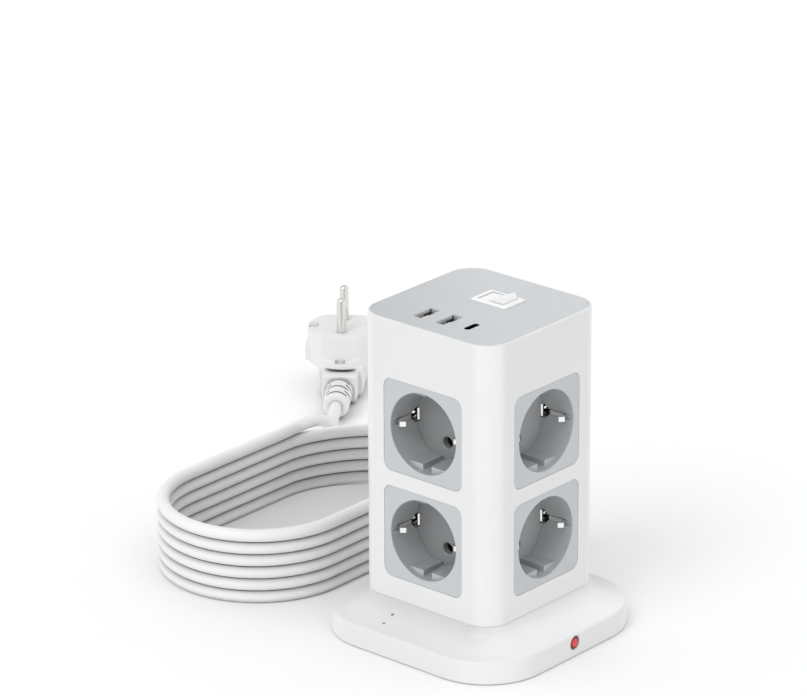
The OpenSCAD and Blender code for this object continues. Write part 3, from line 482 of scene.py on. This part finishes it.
node_slots = {
    "white_case": ["tower_shell", "base_cover"],
    "grey_panel": ["top_panel"],
    "base_plate_plastic": ["base_plate"],
    "socket_grey": [n for n in nodes if n.startswith("socket_")],
    "contact_brass": [n for n in nodes if n.startswith(("live_", "neutral_strip", "neutral_link"))] + ["switch_contact_arm", "switch_terminals"],
    "earth_steel": [n for n in nodes if n.startswith(("earth_strip", "earth_link"))],
    "circuit_board": ["usb_board", "surge_board", "indicator_board"],
    "port_steel": ["usb_a_shells"],
    "port_steel_dark": ["usb_c_shell"],
    "tongue_grey": ["usb_a_tongues"],
    "black_plastic": ["usb_c_tongue", "breaker_body"],
    "transformer_tape": ["usb_transformer"],
    "switch_white": ["switch_housing", "power_rocker"],
    "varistor_blue": ["varistors"],
    "ceramic_white": ["thermal_fuse"],
    "foot_rubber": ["rubber_feet"],
    "screw_steel": ["base_screws", "tower_screws", "board_screws"],
    "light_pipe_clear": ["indicator_light_pipes"],
    "reset_red": ["reset_button"],
    "spring_steel": ["reset_spring"],
    "wire_brown": ["line_wires"],
    "wire_blue": ["neutral_wire"],
    "wire_green_yellow": ["earth_wire"],
    "clamp_plastic": ["cord_clamp"],
    "cord_pvc": ["cord_strain_relief"],
    "plug_pvc": ["plug_body", "plug_strain_relief"],
    "plug_nickel": ["plug_pins"],
}
for s, names in node_slots.items():
    for n in names:
        o = nodes[n]
        o.data.materials.clear()
        o.data.materials.append(mats[s])

# ------------------------------------------------------------------ shading and soft edges


def even_shading():
    """Node group that joins split vertices and shades smooth across every edge flatter than an angle."""
    g = bpy.data.node_groups.new("even_shading", "GeometryNodeTree")
    g.interface.new_socket(name="Geometry", in_out="INPUT", socket_type="NodeSocketGeometry")
    g.interface.new_socket(name="Geometry", in_out="OUTPUT", socket_type="NodeSocketGeometry")
    new, link = g.nodes.new, g.links.new
    start, end = new("NodeGroupInput"), new("NodeGroupOutput")
    bare = new("GeometryNodeRemoveAttribute")
    bare.inputs["Name"].default_value = "custom_normal"
    join = new("GeometryNodeMergeByDistance")
    join.inputs["Distance"].default_value = 2e-6
    faces = new("GeometryNodeSetShadeSmooth")
    faces.domain = "FACE"
    faces.inputs["Shade Smooth"].default_value = True
    edges = new("GeometryNodeSetShadeSmooth")
    edges.domain = "EDGE"
    edges.inputs["Shade Smooth"].default_value = False
    angle = new("GeometryNodeInputMeshEdgeAngle")
    steep = new("FunctionNodeCompare")
    steep.data_type = "FLOAT"
    steep.operation = "GREATER_THAN"
    steep.inputs[1].default_value = math.radians(32)
    link(start.outputs[0], bare.inputs[0])
    link(bare.outputs[0], join.inputs["Geometry"])
    link(join.outputs[0], faces.inputs["Geometry"])
    link(faces.outputs[0], edges.inputs["Geometry"])
    link(angle.outputs["Unsigned Angle"], steep.inputs[0])
    link(steep.outputs[0], edges.inputs["Selection"])
    link(edges.outputs[0], end.inputs[0])
    return g


shading = even_shading()


def soften(o, width=0.0):
    """Smooth shading on curved faces and, where a width is given, a small round on every sharp edge."""
    even = o.modifiers.new("even", "NODES")
    even.node_group = shading
    if width:
        flat = o.modifiers.new("flat", "DECIMATE")
        flat.decimate_type = "DISSOLVE"
        flat.angle_limit = math.radians(0.3)
        edge = o.modifiers.new("edge", "BEVEL")
        edge.width = width * mm
        edge.segments = 2
        edge.limit_method = "ANGLE"
        edge.angle_limit = math.radians(35)
        edge.use_clamp_overlap = True
    normals = o.modifiers.new("normals", "WEIGHTED_NORMAL")
    normals.mode = "FACE_AREA"
    normals.weight = 50
    normals.keep_sharp = True


rounds = {"tower_shell": 0.12, "top_panel": 0.12, "base_cover": 0.15, "base_plate": 0.25, "switch_housing": 0.15, "power_rocker": 0.3,
          "reset_button": 0.1, "usb_a_shells": 0.05, "usb_c_shell": 0.05, "breaker_body": 0.2, "cord_clamp": 0.25,
          "cord_strain_relief": 0.2, "plug_strain_relief": 0.2, "usb_a_tongues": 0.1}
for n, o in nodes.items():
    if n.startswith("power_cord_") or n == "plug_body":
        continue
    soften(o, 0.12 if n.startswith("socket_") else rounds.get(n, 0.0))

# ------------------------------------------------------------------ the plug's moulding

me = nodes["plug_body"].data.copy()
me.materials.clear()
me.materials.append(mats["plug_pvc"])
moulding = bpy.data.objects.new("plug_moulding", me)
scene.collection.objects.link(moulding)
join = moulding.modifiers.new("join", "WELD")
join.merge_threshold = 2e-6
skin = moulding.modifiers.new("skin", "REMESH")
skin.mode = "VOXEL"
skin.voxel_size = 0.00035
skin.use_smooth_shade = True
relax = moulding.modifiers.new("relax", "SMOOTH")
relax.factor = 0.5
relax.iterations = 5
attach(moulding, "tower")
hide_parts("plug_body")

# ------------------------------------------------------------------ the button's return spring

bm = bmesh.new()
turns, steps, sides, wire_r, coil_r, x0, x1 = 4, 24, 8, 0.225 * mm, 2.15 * mm, 50.4 * mm, 53.2 * mm
rings = []
for i in range(turns * steps + 1):
    a = 2 * math.pi * i / steps
    centre = Vector((x0 + (x1 - x0) * i / (turns * steps), coil_r * math.cos(a), 0.0069 + coil_r * math.sin(a)))
    radial = Vector((0, math.cos(a), math.sin(a)))
    ring = []
    for k in range(sides):
        b = 2 * math.pi * k / sides
        ring.append(bm.verts.new(centre + wire_r * (radial * math.cos(b) + Vector((1, 0, 0)) * math.sin(b))))
    rings.append(ring)
for r0, r1 in zip(rings, rings[1:]):
    for k in range(sides):
        bm.faces.new((r0[k], r0[(k + 1) % sides], r1[(k + 1) % sides], r1[k]))
bm.faces.new(rings[0])
bm.faces.new(list(reversed(rings[-1])))
bmesh.ops.recalc_face_normals(bm, faces=bm.faces)
for f in bm.faces:
    f.smooth = len(f.verts) == 4
me = bpy.data.meshes.new("return_spring")
bm.to_mesh(me)
bm.free()
spring = bpy.data.objects.new("return_spring", me)
scene.collection.objects.link(spring)
spring.data.materials.append(mats["spring_steel"])
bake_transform(spring)
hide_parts("reset_spring")

# ------------------------------------------------------------------ the lead


def unit(v):
    return v.normalized()


def lead_points():
    """Centre line of the whole lead in millimetres: (point, direction or None) from the base to the plug."""
    pts = [((-21, y, 6.4), (0, 1, 0)) for y in (70, 78, 84)]
    for i in range(7):
        a = 15 * i
        r = math.radians(a)
        t = i / 6
        pts.append(((-46 + 25 * math.cos(r), 88 + 25 * math.sin(r), 6.4 - 3.3 * t * t * (3 - 2 * t)), None if 0 < i < 6 else
                    (-math.sin(r), math.cos(r), 0)))
    for a in (108, 126, 144, 162, 180):
        r = math.radians(a)
        pts.append(((-46 + 32.8 * math.cos(r), 80.2 + 32.8 * math.sin(r), 3.1), (-math.sin(r), math.cos(r), 0)))
    pts.append(((-78.8, 66, 3.1), (0, -1, 0)))
    x0, x1, y0, y1 = -171.0, -78.8, -15.0, 53.0
    cx, rr = (x0 + x1) / 2, (x1 - x0) / 2
    turns = 6

    def rise(a):
        # share of one cord's height climbed on the far bend, between 160 and 35 degrees
        t = min(1, max(0, (160 - a) / 125))
        return t * t * (3 - 2 * t)

    for k in range(turns):
        z = 3.1 + 6.2 * k
        wob = 0.12 * math.sin(1.7 * k)
        for i in range(3):
            pts.append(((x1 + wob * (i == 1), y1 + (y0 - y1) * i / 3, z), (0, -1, 0)))
        for i in range(10):
            a = -20 * i
            r = math.radians(a)
            pts.append(((cx + rr * math.cos(r), y0 + rr * math.sin(r), z), (math.sin(r), -math.cos(r), 0)))
        for i in range(1, 3):
            pts.append(((x0 - wob * (i == 1), y0 + (y1 - y0) * i / 3, z), (0, 1, 0)))
        if k == turns - 1:
            break
        for i in range(9):
            a = 180 - 20 * i
            r = math.radians(a)
            s = (rise(a - 1) - rise(a + 1)) * 6.2 / (rr * math.radians(2))
            pts.append(((cx + rr * math.cos(r), y1 + rr * math.sin(r), z + 6.2 * rise(a)), (math.sin(r), -math.cos(r), s)))
    pts += [(p, None) for p in [
        (-171, 51, 34.1), (-171.3, 61, 34.1), (-172.6, 71, 33.4), (-175.2, 81, 31), (-179.3, 91, 26.8), (-184.8, 100.6, 21.2),
        (-191.2, 109.5, 15.7), (-198.4, 118.5, 11), (-206, 128, 8.4), (-215, 140, 8), (-218, 144, 8), (-224, 152, 8)]]
    return pts


def curve_along(name, pts, radius, resolution=8, sides=10):
    """One open Bezier spline through pts, its handles along the given or the neighbours' directions."""
    p = [Vector(q) * mm for q, _ in pts]
    n = len(p)
    dirs = []
    for i, (_, d) in enumerate(pts):
        if d is not None:
            dirs.append(unit(Vector(d)))
        elif i == 0:
            dirs.append(unit(p[1] - p[0]))
        elif i == n - 1:
            dirs.append(unit(p[-1] - p[-2]))
        else:
            a, b = p[i] - p[i - 1], p[i + 1] - p[i]
            dirs.append(unit(a * b.length / a.length + b * a.length / b.length))
    cu = bpy.data.curves.new(name, "CURVE")
    cu.dimensions = "3D"
    cu.resolution_u = resolution
    cu.bevel_mode = "ROUND"
    cu.bevel_depth = radius
    cu.bevel_resolution = sides
    cu.use_fill_caps = True
    sp = cu.splines.new("BEZIER")
    sp.bezier_points.add(n - 1)
    sp.use_smooth = True
    for i, bp in enumerate(sp.bezier_points):
        bp.handle_left_type = bp.handle_right_type = "FREE"
        bp.co = p[i]
        h0 = (p[i] - p[i - 1]).length / 3 if i else 0.001
        h1 = (p[i + 1] - p[i]).length / 3 if i < n - 1 else 0.001
        bp.handle_left = p[i] - dirs[i] * h0
        bp.handle_right = p[i] + dirs[i] * h1
    o = bpy.data.objects.new(name, cu)
    scene.collection.objects.link(o)
    return o


lead = curve_along("power_cord", lead_points(), 0.0031)
lead.data.materials.append(mats["cord_pvc"])
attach(lead, "tower")
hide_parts("power_cord_lead", "power_cord_coil", "power_cord_tail")

# ------------------------------------------------------------------ floor and light

bm = bmesh.new()
bmesh.ops.create_grid(bm, x_segments=2, y_segments=2, size=30)
me = bpy.data.meshes.new("floor")
bm.to_mesh(me)
bm.free()
floor = bpy.data.objects.new("floor", me)
scene.collection.objects.link(floor)
m = Mat("floor")
x, y, z = m.axes()
# painted shade on the floor where things stand close over it
ao = m.t.nodes.new("ShaderNodeAmbientOcclusion")
ao.samples = 12
ao.inputs["Distance"].default_value = 0.09
ao_shaded_floor = m.mix(m.span(ao.outputs["AO"], 0.60, 0.86), (0.915, 0.915, 0.917),
              m.mix(m.span(m.noise(3, 3, 0.5), 0.3, 0.7), (0.985, 0.985, 0.987), (0.992, 0.992, 0.993)))
# painted shadow on the floor inside the coil
to_x = m.math("ADD", x, 0.1249)
to_y = m.math("SUBTRACT", y, m.math("MINIMUM", m.math("MAXIMUM", y, -0.015), 0.053))
away = m.math("SQRT", m.math("ADD", m.math("MULTIPLY", to_x, to_x), m.math("MULTIPLY", to_y, to_y)))
m.colour(m.mix(m.span(away, 0.041, 0.047), (0.725, 0.725, 0.727), ao_shaded_floor))
m.rough(m.span(m.noise(6, 2, 0.5), 0.3, 0.7, 0.55, 0.65))
m.bump(m.noise(700, 2, 0.5), 0.03, 0.00005)
floor.data.materials.append(m.m)

world = bpy.data.worlds.new("studio")
scene.world = world
world.use_nodes = True
wt = world.node_tree
bg = wt.nodes["Background"]
tc = wt.nodes.new("ShaderNodeTexCoord")
sep = wt.nodes.new("ShaderNodeSeparateXYZ")
wt.links.new(tc.outputs["Generated"], sep.inputs[0])
ramp = wt.nodes.new("ShaderNodeMapRange")
ramp.interpolation_type = "SMOOTHSTEP"
ramp.inputs["From Min"].default_value = 0.0
ramp.inputs["From Max"].default_value = 1.0
ramp.inputs["To Min"].default_value = 0.985
ramp.inputs["To Max"].default_value = 0.757
wt.links.new(sep.outputs[2], ramp.inputs["Value"])
wt.links.new(ramp.outputs["Result"], bg.inputs["Strength"])
bg.inputs["Color"].default_value = (1.0, 1.0, 1.0, 1)


def soft_sun(name, az, el, strength, spread):
    """A wide, far light seen from the object at azimuth az (0 is the front, positive towards +X) and elevation el."""
    l = bpy.data.lights.new(name, "SUN")
    l.energy = strength
    l.angle = math.radians(spread)
    o = bpy.data.objects.new(name, l)
    a, e = math.radians(az), math.radians(el)
    d = Vector((math.sin(a) * math.cos(e), -math.cos(a) * math.cos(e), math.sin(e)))
    o.rotation_mode = "QUATERNION"
    o.rotation_quaternion = (-d).to_track_quat("-Z", "Y")
    scene.collection.objects.link(o)
    return o


soft_sun("key", 5, 48, 0.767, 32)
soft_sun("fill", 95, 55, 0.13, 40)
